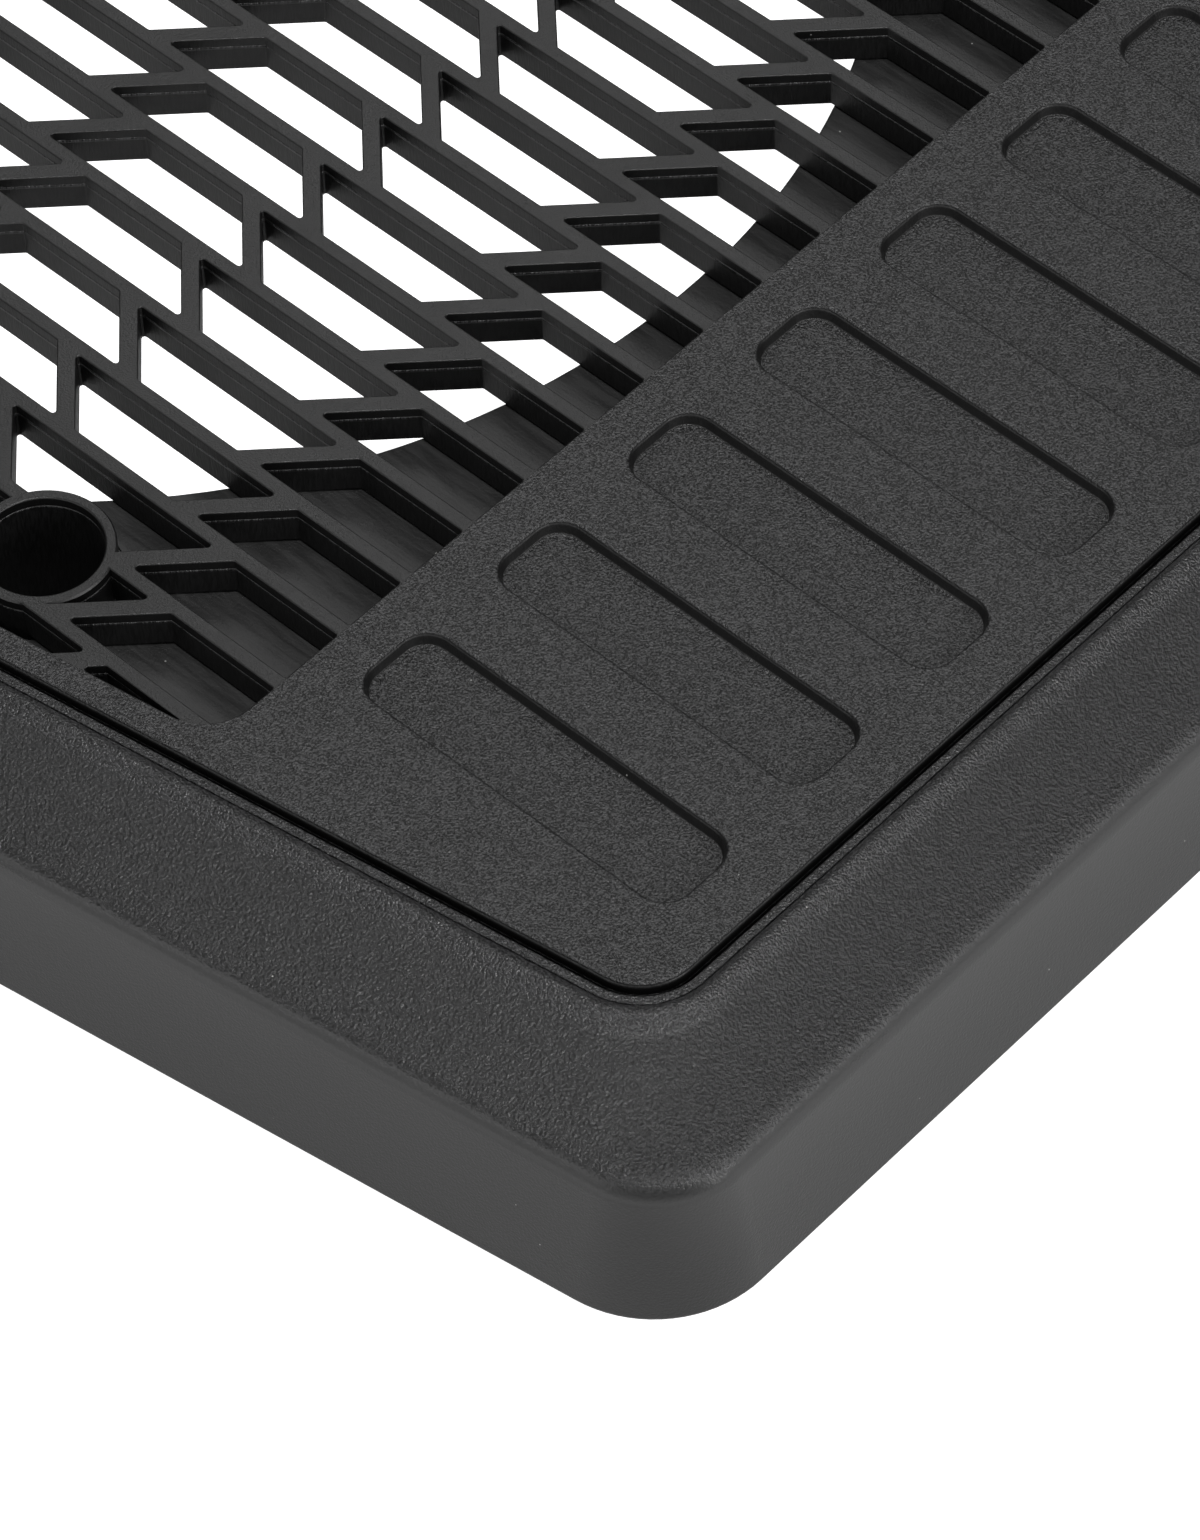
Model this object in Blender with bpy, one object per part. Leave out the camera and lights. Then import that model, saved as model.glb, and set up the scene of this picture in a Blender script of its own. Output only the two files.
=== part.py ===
"""Rigid scraper door mat: a moulded surround with a lift-out grate standing on four tube legs.

Metres, +Z up.  X runs along the mat, Y across it, and the origin is on the floor at its middle.
The plan is a long hexagon: straight ends, and long sides that widen towards the middle.
"""
import math

import bmesh
import bpy

MM = 0.001

# Plan of the groove between the grate and the surround
GROOVE_HALF_LENGTH = 287.9 * MM     # middle of the groove at an end
GROOVE_HALF_WIDTH = 186.9 * MM      # middle of the groove halfway along a side
SIDE_TAPER = 0.1555                 # how fast a side closes in towards the ends
GROOVE_CORNER_RADIUS = 13.4 * MM
WAIST_RADIUS = 120.0 * MM           # rounding where the two halves of a side meet
GROOVE_WIDTH = 1.5 * MM

# Heights above the floor
TREAD_HEIGHT = 43.0 * MM            # top of the grate's end plates
LEDGE_DROP = 10.0 * MM              # from the tread down to the ledge that carries the grate
SKIRT_HEIGHT = 0.6 * MM             # bottom edge of the surround above the floor
SEAT_GAP = 0.3 * MM                 # running gap between pieces that rest on each other

# Surround
END_RAIL = 37.1 * MM                # groove to outer bottom edge, at an end
SIDE_RAIL = 39.6 * MM               # the same along a side
WALL = 3.0 * MM
LIP_DROP = 0.6 * MM                 # flat lip beside the groove, below the tread
LIP_WIDTH = 3.1 * MM                # groove to the step up to the bead
BEAD_RISE = 0.4 * MM                # top of the bead above the tread
BEAD_END = 8.4 * MM                 # groove to the outer foot of the bead
BAND_START_DROP = 1.6 * MM
BAND_END = 28.5 * MM                # groove to the start of the rounded shoulder
BAND_END_DROP = 5.4 * MM
SHOULDER_END = 33.2 * MM
SHOULDER_END_DROP = 9.6 * MM
BAND_CORNER_RADIUS = 20.6 * MM
BASE_CORNER_RADIUS = 27.5 * MM
LEDGE_OPENING_MARGIN = 21.4 * MM    # groove to the round opening, halfway along a side
LEG_HOLE_CLEARANCE = 1.0 * MM

# Grate
PLATE_LENGTH = 105.7 * MM           # end plate, from the groove to the lattice
BORDER_WIDTH = 7.3 * MM             # solid strip between the lattice and the side groove
LATTICE_CORNER_RADIUS = 12.0 * MM
LATTICE_DROP = 0.4 * MM             # tops of the bars below the end plates
CELL_INSET = 0.2 * MM               # narrow step left between the cells and the border's edge
BAR_DEPTH = 8.9 * MM
BAR_PITCH = 17.68 * MM
BAR_WIDTH = 3.3 * MM
TIE_PITCH = 47.9 * MM               # rows of slanting ties between the bars
TIE_WIDTH = 3.9 * MM
TIE_ROWS = 7
TREAD_EDGE_RADIUS = 1.2 * MM

# Recesses in the end plates
RECESS_PITCH = 37.9 * MM
RECESS_SIDE_MARGIN = 28.4 * MM      # side groove to the middle of the outermost recess
RECESS_LENGTH = 81.9 * MM
RECESS_WIDTH = 20.2 * MM
RECESS_CORNER_RADIUS = 6.0 * MM
RECESS_DEPTH = 3.0 * MM
RECESS_MARGIN = 13.2 * MM           # groove to the near end of a recess
SKIN = 2.5 * MM                     # left under a recess by the bays below
BAY_RIB = 3.0 * MM

# Tube legs of the grate and the rubber plugs that close them
LEG_END_MARGIN = 59.5 * MM          # end of the lattice to the middle of a leg
LEG_SIDE_MARGIN = 28.72 * MM        # side groove to the middle of a leg, straight across
LEG_RADIUS = 14.85 * MM
LEG_BORE_RADIUS = 12.5 * MM
LEG_BOTTOM = 2.5 * MM
PLUG_PEG_LENGTH = 10.0 * MM

# Rubber feet in sockets under the surround
FOOT_OFFSET = 19.0 * MM             # groove to the middle of a foot
FOOT_BOSS_RADIUS = 6.0 * MM
FOOT_BOSS_BOTTOM = 2.2 * MM
FOOT_BOSS_TOP_DROP = 5.3 * MM       # ends inside the sloping band
FOOT_SOCKET_RADIUS = 3.6 * MM
FOOT_SOCKET_DEPTH = 7.0 * MM
RUBBER_CHAMFER = 0.4 * MM

CORNER_STEPS = 6
WAIST_STEPS = 3
RECESS_STEPS = 3
LEG_STEPS = 28
FOOT_STEPS = 16
OPENING_STEPS = 72
CUT_MARGIN = 2.0 * MM               # how far a cutter runs past the faces that it cuts

LEDGE_HEIGHT = TREAD_HEIGHT - LEDGE_DROP
BAR_TOP = TREAD_HEIGHT - LATTICE_DROP
BAR_BOTTOM = BAR_TOP - BAR_DEPTH
GRATE_BOTTOM = LEDGE_HEIGHT + SEAT_GAP
LATTICE_HALF_LENGTH = GROOVE_HALF_LENGTH - PLATE_LENGTH
LEDGE_OPENING_RADIUS = GROOVE_HALF_WIDTH - LEDGE_OPENING_MARGIN
LEG_X = LATTICE_HALF_LENGTH - LEG_END_MARGIN
LEG_Y = GROOVE_HALF_WIDTH - SIDE_TAPER * LEG_X - LEG_SIDE_MARGIN
END_HALF_WIDTH = GROOVE_HALF_WIDTH - SIDE_TAPER * GROOVE_HALF_LENGTH
RECESS_SPREAD = 2 * (END_HALF_WIDTH - RECESS_SIDE_MARGIN)
RECESS_COUNT = int(RECESS_SPREAD / RECESS_PITCH) + 1
SIDE_ANGLE = math.atan(SIDE_TAPER)


def clear_scene():
    for scene_object in list(bpy.data.objects):
        bpy.data.objects.remove(scene_object, do_unlink=True)


def plastic(name, colour, roughness):
    material = bpy.data.materials.new(name)
    material.use_nodes = True
    shader = material.node_tree.nodes["Principled BSDF"]
    shader.inputs["Base Color"].default_value = (*colour, 1.0)
    shader.inputs["Roughness"].default_value = roughness
    shader.inputs["Metallic"].default_value = 0.0
    return material


# ---------------------------------------------------------------- outlines

def sharp_hexagon(half_length, half_width):
    """Corners, anticlockwise, of the long hexagon; half_width is taken halfway along."""
    end_width = half_width - SIDE_TAPER * half_length
    return [
        (half_length, -end_width),
        (half_length, end_width),
        (0.0, half_width),
        (-half_length, end_width),
        (-half_length, -end_width),
        (0.0, -half_width),
    ]


def rounded(corners, radii, steps):
    """Replace each corner of an anticlockwise polygon by an arc of its own radius and steps."""
    points = []
    count = len(corners)
    for index, (x, y) in enumerate(corners):
        before = corners[index - 1]
        after = corners[(index + 1) % count]
        heading_in = math.atan2(y - before[1], x - before[0])
        heading_out = math.atan2(after[1] - y, after[0] - x)
        turn = (heading_out - heading_in) % (2 * math.pi)
        radius = radii[index]
        setback = radius * math.tan(turn / 2)
        start_x = x - setback * math.cos(heading_in)
        start_y = y - setback * math.sin(heading_in)
        centre_x = start_x - radius * math.sin(heading_in)
        centre_y = start_y + radius * math.cos(heading_in)
        for step in range(steps[index] + 1):
            heading = heading_in + turn * step / steps[index]
            points.append((centre_x + radius * math.sin(heading),
                           centre_y - radius * math.cos(heading)))
    return points


def hexagon_corners(end_offset, side_offset):
    """Sharp corners of the groove's hexagon moved outwards, or inwards where negative."""
    return sharp_hexagon(GROOVE_HALF_LENGTH + end_offset,
                         GROOVE_HALF_WIDTH + side_offset / math.cos(SIDE_ANGLE))


def hexagon_outline(end_offset, side_offset, corner_radius):
    waist = WAIST_RADIUS + side_offset
    radii = [corner_radius, corner_radius, waist, corner_radius, corner_radius, waist]
    steps = [CORNER_STEPS, CORNER_STEPS, WAIST_STEPS, CORNER_STEPS, CORNER_STEPS, WAIST_STEPS]
    return rounded(hexagon_corners(end_offset, side_offset), radii, steps)


def lattice_outline(inset):
    corners = hexagon_corners(-PLATE_LENGTH - inset, -BORDER_WIDTH - inset)
    waist = WAIST_RADIUS - BORDER_WIDTH - inset
    corner = LATTICE_CORNER_RADIUS - inset
    steps = [CORNER_STEPS, CORNER_STEPS, WAIST_STEPS, CORNER_STEPS, CORNER_STEPS, WAIST_STEPS]
    return rounded(corners, [corner, corner, waist, corner, corner, waist], steps)


def circle(centre, radius, steps):
    return [(centre[0] + radius * math.cos(2 * math.pi * step / steps),
             centre[1] + radius * math.sin(2 * math.pi * step / steps)) for step in range(steps)]


def clipped(polygon, window):
    """Part of a convex polygon inside a convex anticlockwise window."""
    kept = polygon
    for index, (ax, ay) in enumerate(window):
        bx, by = window[(index + 1) % len(window)]

        def side(point):
            return (bx - ax) * (point[1] - ay) - (by - ay) * (point[0] - ax)

        source = kept
        kept = []
        for place, point in enumerate(source):
            previous = source[place - 1]
            here = side(point)
            there = side(previous)
            if (here >= 0) != (there >= 0):
                share = there / (there - here)
                kept.append((previous[0] + share * (point[0] - previous[0]),
                             previous[1] + share * (point[1] - previous[1])))
            if here >= 0:
                kept.append(point)
        if len(kept) < 3:
            return []
    return kept


def area(polygon):
    total = 0.0
    for index, (x, y) in enumerate(polygon):
        previous = polygon[index - 1]
        total += previous[0] * y - x * previous[1]
    return total / 2


def spaced(polygon, smallest):
    """Polygon without points closer together than smallest."""
    kept = []
    for point in polygon:
        previous = kept[-1] if kept else polygon[-1]
        if math.dist(point, previous) >= smallest:
            kept.append(point)
    return kept


# ---------------------------------------------------------------- solids

def add_loops(mesh, rings):
    return [[mesh.verts.new((x, y, height)) for x, y in outline] for outline, height in rings]


def skin(mesh, loops):
    for upper, lower in zip(loops, loops[1:]):
        for index in range(len(upper)):
            following = (index + 1) % len(upper)
            mesh.faces.new((upper[index], lower[index], lower[following], upper[following]))


def add_loft(mesh, rings):
    """Skin a stack of equal outlines, given as (outline, height), with flat caps.

    Rings follow the surface from the top cap outwards and round to the bottom cap.
    """
    loops = add_loops(mesh, rings)
    skin(mesh, loops)
    mesh.faces.new(loops[0])
    mesh.faces.new(reversed(loops[-1]))


def add_tube(mesh, rings):
    """Skin equal outlines that run down the outside and back up the bore, with no caps."""
    loops = add_loops(mesh, rings)
    skin(mesh, loops + loops[:1])


def add_prism(mesh, outline, bottom, top):
    add_loft(mesh, [(outline, top), (outline, bottom)])


def new_object(name, mesh, material=None):
    data = bpy.data.meshes.new(name)
    mesh.to_mesh(data)
    mesh.free()
    result = bpy.data.objects.new(name, data)
    bpy.context.collection.objects.link(result)
    if material is not None:
        data.materials.append(material)
    return result


def prisms(name, outlines, bottom, top):
    """One hidden cutter or filler made of separate prisms."""
    mesh = bmesh.new()
    for outline in outlines:
        add_prism(mesh, outline, bottom, top)
    tool = new_object(name, mesh)
    tool.hide_render = True
    tool.display_type = "WIRE"
    return tool


def combine(target, tool, operation):
    modifier = target.modifiers.new(tool.name, "BOOLEAN")
    modifier.operation = operation
    modifier.object = tool
    modifier.solver = "EXACT"


# ---------------------------------------------------------------- surround

def side_offset(end_offset):
    """The side rail is wider than the end rail in one proportion all the way out."""
    return end_offset * SIDE_RAIL / END_RAIL


def surround_ring(offset, height, corner_radius):
    return hexagon_outline(offset, side_offset(offset), corner_radius), height


def surround_rings():
    inner = GROOVE_WIDTH / 2
    bead_middle = (LIP_WIDTH + BEAD_END) / 2
    tread = TREAD_HEIGHT

    def near_groove(offset, height):
        return surround_ring(offset, height, GROOVE_CORNER_RADIUS + offset)

    rim = [
        near_groove(inner, LEDGE_HEIGHT),
        near_groove(inner, tread - LIP_DROP - 0.6 * MM),
        near_groove(inner + 0.6 * MM, tread - LIP_DROP),
        near_groove(LIP_WIDTH, tread - LIP_DROP),
        near_groove(LIP_WIDTH + 0.2 * MM, tread - 0.2 * MM),
        near_groove(bead_middle - 1.2 * MM, tread + BEAD_RISE - 0.1 * MM),
        near_groove(bead_middle, tread + BEAD_RISE),
        near_groove(bead_middle + 1.3 * MM, tread),
        near_groove(BEAD_END, tread - BAND_START_DROP + 0.3 * MM),
    ]
    outside = [
        surround_ring(BEAD_END + 1.2 * MM, tread - BAND_START_DROP, BAND_CORNER_RADIUS),
        surround_ring(BAND_END, tread - BAND_END_DROP, BAND_CORNER_RADIUS),
        surround_ring((BAND_END + SHOULDER_END) / 2 + 0.9 * MM,
                      tread - (BAND_END_DROP + SHOULDER_END_DROP) / 2 + 0.7 * MM,
                      BAND_CORNER_RADIUS),
        surround_ring(SHOULDER_END, tread - SHOULDER_END_DROP, BAND_CORNER_RADIUS + 1.0 * MM),
        surround_ring(END_RAIL, SKIRT_HEIGHT + 1.0 * MM, BASE_CORNER_RADIUS),
        surround_ring(END_RAIL - 0.5 * MM, SKIRT_HEIGHT, BASE_CORNER_RADIUS),
    ]
    inside = [
        surround_ring(END_RAIL - WALL, SKIRT_HEIGHT, BASE_CORNER_RADIUS - WALL),
        surround_ring(SHOULDER_END - WALL, tread - SHOULDER_END_DROP - 1.4 * MM,
                      BAND_CORNER_RADIUS - WALL),
        surround_ring(BAND_END, tread - BAND_END_DROP - WALL - 0.4 * MM,
                      BAND_CORNER_RADIUS - WALL),
        surround_ring(BEAD_END + 1.2 * MM, tread - BAND_START_DROP - WALL - 0.2 * MM,
                      BAND_CORNER_RADIUS - WALL),
        near_groove(inner + WALL, tread - BAND_START_DROP - WALL),
        near_groove(inner + WALL, LEDGE_HEIGHT - WALL),
    ]
    return rim + outside + inside


def foot_places():
    """Middles of the rubber feet: near the four corners, and halfway along the two sides."""
    corners = hexagon_outline(FOOT_OFFSET, side_offset(FOOT_OFFSET), BAND_CORNER_RADIUS)
    per_corner = CORNER_STEPS + 1
    per_waist = WAIST_STEPS + 1
    middle = CORNER_STEPS // 2
    starts = [0, per_corner, 2 * per_corner + per_waist, 3 * per_corner + per_waist]
    places = [corners[start + middle] for start in starts]
    waist = GROOVE_HALF_WIDTH + side_offset(FOOT_OFFSET)
    return places + [(0.0, waist), (0.0, -waist)]


def leg_places():
    return [(LEG_X, -LEG_Y), (LEG_X, LEG_Y), (-LEG_X, LEG_Y), (-LEG_X, -LEG_Y)]


def build_surround(material):
    mesh = bmesh.new()
    add_loft(mesh, surround_rings())
    surround = new_object("frame", mesh, material)
    below = LEDGE_HEIGHT - WALL - CUT_MARGIN
    above = LEDGE_HEIGHT + CUT_MARGIN
    opening = circle((0.0, 0.0), LEDGE_OPENING_RADIUS, OPENING_STEPS)
    combine(surround, prisms("ledge_opening_cutter", [opening], below, above), "DIFFERENCE")
    hole_radius = LEG_RADIUS + LEG_HOLE_CLEARANCE
    holes = [circle(place, hole_radius, LEG_STEPS) for place in leg_places()]
    combine(surround, prisms("leg_hole_cutter", holes, below, above), "DIFFERENCE")
    bosses = [circle(place, FOOT_BOSS_RADIUS, FOOT_STEPS) for place in foot_places()]
    boss_top = TREAD_HEIGHT - FOOT_BOSS_TOP_DROP
    combine(surround, prisms("foot_boss", bosses, FOOT_BOSS_BOTTOM, boss_top), "UNION")
    sockets = [circle(place, FOOT_SOCKET_RADIUS, FOOT_STEPS) for place in foot_places()]
    socket_top = FOOT_BOSS_BOTTOM + FOOT_SOCKET_DEPTH
    combine(surround, prisms("foot_socket_cutter", sockets, 0.0, socket_top), "DIFFERENCE")
    return surround


# ---------------------------------------------------------------- grate

def grate_ring(inset, height):
    return hexagon_outline(-inset, -inset, GROOVE_CORNER_RADIUS - inset), height


def grate_rings():
    edge = GROOVE_WIDTH / 2
    radius = TREAD_EDGE_RADIUS
    top = TREAD_HEIGHT
    window = lattice_outline(0.0)
    return [
        (window, BAR_TOP),
        (window, top),
        grate_ring(edge + radius, top),
        grate_ring(edge + radius * (1 - math.sin(math.pi / 4)),
                   top - radius * (1 - math.cos(math.pi / 4))),
        grate_ring(edge, top - radius),
        grate_ring(edge, GRATE_BOTTOM),
        (window, GRATE_BOTTOM),
        (window, BAR_BOTTOM),
    ]


def tie_centre(row):
    return (row - (TIE_ROWS - 1) / 2) * TIE_PITCH


def tie_lean(row):
    """+1 or -1: which way a row of ties slants, turn and turn about, outer rows alike."""
    return 1.0 if row % 2 == 0 else -1.0


def lattice_cells():
    """Open cells between the long bars and the slanting ties, clipped to the lattice outline."""
    window = lattice_outline(CELL_INSET)
    half_tie = TIE_WIDTH * math.sqrt(2) / 2
    far = 2 * LATTICE_HALF_LENGTH
    channels = math.ceil(GROOVE_HALF_WIDTH / BAR_PITCH)
    cells = []
    for channel in range(-channels, channels + 1):
        middle = channel * BAR_PITCH
        low = middle - (BAR_PITCH - BAR_WIDTH) / 2
        high = middle + (BAR_PITCH - BAR_WIDTH) / 2
        for row in range(TIE_ROWS + 1):
            near_low = near_high = -far
            if row > 0:
                lean = tie_lean(row - 1)
                near_low = tie_centre(row - 1) + half_tie + lean * (low - middle)
                near_high = tie_centre(row - 1) + half_tie + lean * (high - middle)
            far_low = far_high = far
            if row < TIE_ROWS:
                lean = tie_lean(row)
                far_low = tie_centre(row) - half_tie + lean * (low - middle)
                far_high = tie_centre(row) - half_tie + lean * (high - middle)
            cell = [(near_low, low), (far_low, low), (far_high, high), (near_high, high)]
            cell = spaced(clipped(cell, window), 0.05 * MM)
            if len(cell) > 2 and area(cell) > 4 * MM * MM:
                cells.append(cell)
    return cells


def recess_outline(centre_x, centre_y, length, width, radius):
    half_x = length / 2
    half_y = width / 2
    corners = [
        (centre_x + half_x, centre_y - half_y),
        (centre_x + half_x, centre_y + half_y),
        (centre_x - half_x, centre_y + half_y),
        (centre_x - half_x, centre_y - half_y),
    ]
    return rounded(corners, [radius] * 4, [RECESS_STEPS] * 4)


def recess_places():
    along = GROOVE_HALF_LENGTH - RECESS_MARGIN - RECESS_LENGTH / 2
    across = [(index - (RECESS_COUNT - 1) / 2) * RECESS_PITCH for index in range(RECESS_COUNT)]
    return [(end * along, y) for end in (1, -1) for y in across]


def build_grate(material):
    mesh = bmesh.new()
    add_loft(mesh, grate_rings())
    grate = new_object("grate", mesh, material)
    top = TREAD_HEIGHT + CUT_MARGIN
    bottom = GRATE_BOTTOM - CUT_MARGIN
    combine(grate, prisms("cell_cutter", lattice_cells(), bottom, top), "DIFFERENCE")
    recesses = [recess_outline(x, y, RECESS_LENGTH, RECESS_WIDTH, RECESS_CORNER_RADIUS)
                for x, y in recess_places()]
    recess_floor = TREAD_HEIGHT - RECESS_DEPTH
    combine(grate, prisms("recess_cutter", recesses, recess_floor, top), "DIFFERENCE")
    bay_length = PLATE_LENGTH - GROOVE_WIDTH / 2 - 2 * BAY_RIB
    bay_middle = LATTICE_HALF_LENGTH + BAY_RIB + bay_length / 2
    bays = [recess_outline(math.copysign(bay_middle, x), y, bay_length,
                           RECESS_PITCH - BAY_RIB, BAY_RIB) for x, y in recess_places()]
    combine(grate, prisms("bay_cutter", bays, bottom, recess_floor - SKIN), "DIFFERENCE")
    rings = [circle(place, LEG_RADIUS, LEG_STEPS) for place in leg_places()]
    combine(grate, prisms("leg_ring", rings, BAR_BOTTOM, BAR_TOP), "UNION")
    bores = [circle(place, LEG_BORE_RADIUS, LEG_STEPS) for place in leg_places()]
    combine(grate, prisms("leg_bore_cutter", bores, bottom, top), "DIFFERENCE")
    return grate


def build_legs(material, parent):
    """Tube legs under the rings of the lattice, each a node so that the grate stays flat."""
    outer = circle((0.0, 0.0), LEG_RADIUS, LEG_STEPS)
    bore = circle((0.0, 0.0), LEG_BORE_RADIUS, LEG_STEPS)
    top = BAR_BOTTOM - SEAT_GAP
    for number, place in enumerate(leg_places(), 1):
        mesh = bmesh.new()
        add_tube(mesh, [(outer, top), (outer, LEG_BOTTOM), (bore, LEG_BOTTOM), (bore, top)])
        leg = new_object(f"leg_{number}", mesh, material)
        leg.location = (place[0], place[1], 0.0)
        leg.parent = parent


# ---------------------------------------------------------------- rubber pieces

def build_turned(name, place, head, peg, steps, material):
    """A rubber piece: head and peg are each (radius, top), the head standing on the floor."""
    head_radius, head_top = head
    peg_radius, peg_top = peg
    chamfer = RUBBER_CHAMFER
    profile = [
        (peg_radius - chamfer, peg_top),
        (peg_radius, peg_top - chamfer),
        (peg_radius, head_top),
        (head_radius, head_top),
        (head_radius, chamfer),
        (head_radius - chamfer, 0.0),
    ]
    mesh = bmesh.new()
    add_loft(mesh, [(circle((0.0, 0.0), radius, steps), height) for radius, height in profile])
    piece = new_object(name, mesh, material)
    piece.location = (place[0], place[1], 0.0)
    return piece


def build_leg_plugs(material, parent):
    for number, place in enumerate(leg_places(), 1):
        head = (LEG_RADIUS, LEG_BOTTOM - SEAT_GAP)
        peg = (LEG_BORE_RADIUS - SEAT_GAP, LEG_BOTTOM + PLUG_PEG_LENGTH)
        plug = build_turned(f"leg_plug_{number}", place, head, peg, LEG_STEPS, material)
        plug.parent = parent


def build_feet(material):
    for number, place in enumerate(foot_places(), 1):
        head = (FOOT_BOSS_RADIUS, FOOT_BOSS_BOTTOM - SEAT_GAP)
        peg = (FOOT_SOCKET_RADIUS - SEAT_GAP, FOOT_BOSS_BOTTOM + FOOT_SOCKET_DEPTH - 2 * SEAT_GAP)
        build_turned(f"foot_{number}", place, head, peg, FOOT_STEPS, material)


def main():
    clear_scene()
    surround_plastic = plastic("grained_black_plastic", (0.045, 0.045, 0.045), 0.5)
    grate_plastic = plastic("fine_black_plastic", (0.042, 0.042, 0.042), 0.55)
    rubber = plastic("black_rubber", (0.02, 0.02, 0.02), 0.8)
    build_surround(surround_plastic)
    grate = build_grate(grate_plastic)
    build_legs(grate_plastic, grate)
    build_leg_plugs(rubber, grate)
    build_feet(rubber)


main()
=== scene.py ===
"""Looks of a rigid scraper door mat: a moulded surround with a lift-out grate on four tube legs.

Metres, +Z up.  X runs along the mat, Y across it, and the origin is on the floor at its middle.
"""

import math

import bmesh
import bpy
from mathutils import Matrix, Vector


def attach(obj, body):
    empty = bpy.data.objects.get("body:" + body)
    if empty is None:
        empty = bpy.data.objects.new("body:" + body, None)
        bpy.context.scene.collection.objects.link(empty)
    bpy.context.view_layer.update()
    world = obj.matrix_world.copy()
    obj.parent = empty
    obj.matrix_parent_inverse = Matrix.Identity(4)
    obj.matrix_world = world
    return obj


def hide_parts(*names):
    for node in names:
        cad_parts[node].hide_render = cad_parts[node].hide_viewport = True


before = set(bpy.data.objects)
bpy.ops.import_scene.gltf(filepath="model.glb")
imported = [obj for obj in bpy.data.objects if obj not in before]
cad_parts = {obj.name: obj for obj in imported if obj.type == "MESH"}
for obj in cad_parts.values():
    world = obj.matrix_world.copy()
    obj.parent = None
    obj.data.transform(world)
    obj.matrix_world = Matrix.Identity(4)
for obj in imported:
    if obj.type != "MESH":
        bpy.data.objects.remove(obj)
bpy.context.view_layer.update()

MM = 0.001

# Sizes of the mat, as in the part's own model
GROOVE_HALF_LENGTH = 287.9 * MM
GROOVE_HALF_WIDTH = 186.9 * MM
SIDE_TAPER = 0.1555
GROOVE_CORNER_RADIUS = 13.4 * MM
WAIST_RADIUS = 120.0 * MM
GROOVE_WIDTH = 1.5 * MM
TREAD_HEIGHT = 43.0 * MM
LEDGE_DROP = 10.0 * MM
SKIRT_HEIGHT = 0.6 * MM
SEAT_GAP = 0.3 * MM
END_RAIL = 37.1 * MM
SIDE_RAIL = 39.6 * MM
WALL = 3.0 * MM
BAND_CORNER_RADIUS = 20.6 * MM
BASE_CORNER_RADIUS = 27.5 * MM
LEDGE_OPENING_RADIUS = 165.5 * MM
LEG_HOLE_CLEARANCE = 1.0 * MM
PLATE_LENGTH = 105.7 * MM
BORDER_WIDTH = 7.3 * MM
LATTICE_CORNER_RADIUS = 12.0 * MM
LATTICE_DROP = 0.4 * MM
BAR_DEPTH = 8.9 * MM
BAR_PITCH = 17.68 * MM
BAR_WIDTH = 3.3 * MM
TIE_PITCH = 47.9 * MM
TIE_WIDTH = 3.9 * MM
TIE_ROWS = 7
TREAD_EDGE_RADIUS = 1.2 * MM
RECESS_COUNT = 7
RECESS_PITCH = 37.9 * MM
RECESS_LENGTH = 81.9 * MM
RECESS_WIDTH = 20.2 * MM
RECESS_CORNER_RADIUS = 6.0 * MM
RECESS_DEPTH = 3.0 * MM
RECESS_MARGIN = 13.2 * MM
SKIN = 2.5 * MM
BAY_RIB = 3.0 * MM
LEG_X = 122.7 * MM
LEG_Y = 139.1 * MM
LEG_RADIUS = 14.85 * MM
LEG_BORE_RADIUS = 12.5 * MM
LEG_BOTTOM = 2.5 * MM
PLUG_PEG_LENGTH = 10.0 * MM
FOOT_OFFSET = 19.0 * MM
FOOT_BOSS_RADIUS = 6.0 * MM
FOOT_BOSS_BOTTOM = 2.2 * MM
FOOT_BOSS_TOP_DROP = 5.3 * MM
FOOT_SOCKET_RADIUS = 3.6 * MM
FOOT_SOCKET_DEPTH = 7.0 * MM

# Stations across the rail, outwards from the groove
BEAD_END = 8.4 * MM                 # outer foot of the bead
BAND_START = 11.0 * MM              # the band's corner radius holds from here
BAND_END = 30.0 * MM                # to here
SHOULDER_END = 33.2 * MM

# Finer shape that only the looks need
BAR_EDGE_RADIUS = 0.3 * MM
CELL_INSET = 0.45 * MM              # narrow shelf left between the cells and the border's edge
CELL_CORNER_RADIUS = 0.6 * MM
RECESS_RIM_RADIUS = 1.1 * MM
RECESS_FOOT_RADIUS = 0.8 * MM
RECESS_DRAFT = 0.35 * MM
OPENING_EDGE_RADIUS = 0.6 * MM
RUBBER_EDGE_RADIUS = 0.5 * MM
WINDOW_EDGE = 0.15 * MM             # bevel where an end plate meets the lattice
GRATE_FOOT_CHAMFER = 0.4 * MM
LEG_EDGE = 0.35 * MM
BORE_EDGE_RADIUS = 0.4 * MM
TUBE_RISE = 0.02 * MM               # keeps the tubes' tops off the bars' tops where they join
CORNER_STEPS = 18
WAIST_STEPS = 8
ARC_STEPS = 5
RECESS_STEPS = 8
TUBE_STEPS = 72
OPENING_STEPS = 180
FOOT_STEPS = 40
EDGE_STEPS = 3                      # round the smallest edges
CUT_MARGIN = 2.0 * MM
SMOOTH_ANGLE = math.radians(42)

LEDGE_HEIGHT = TREAD_HEIGHT - LEDGE_DROP
BAR_TOP = TREAD_HEIGHT - LATTICE_DROP
BAR_BOTTOM = BAR_TOP - BAR_DEPTH
GRATE_BOTTOM = LEDGE_HEIGHT + SEAT_GAP
LATTICE_HALF_LENGTH = GROOVE_HALF_LENGTH - PLATE_LENGTH
SIDE_ANGLE = math.atan(SIDE_TAPER)


# ---------------------------------------------------------------- outlines

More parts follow.
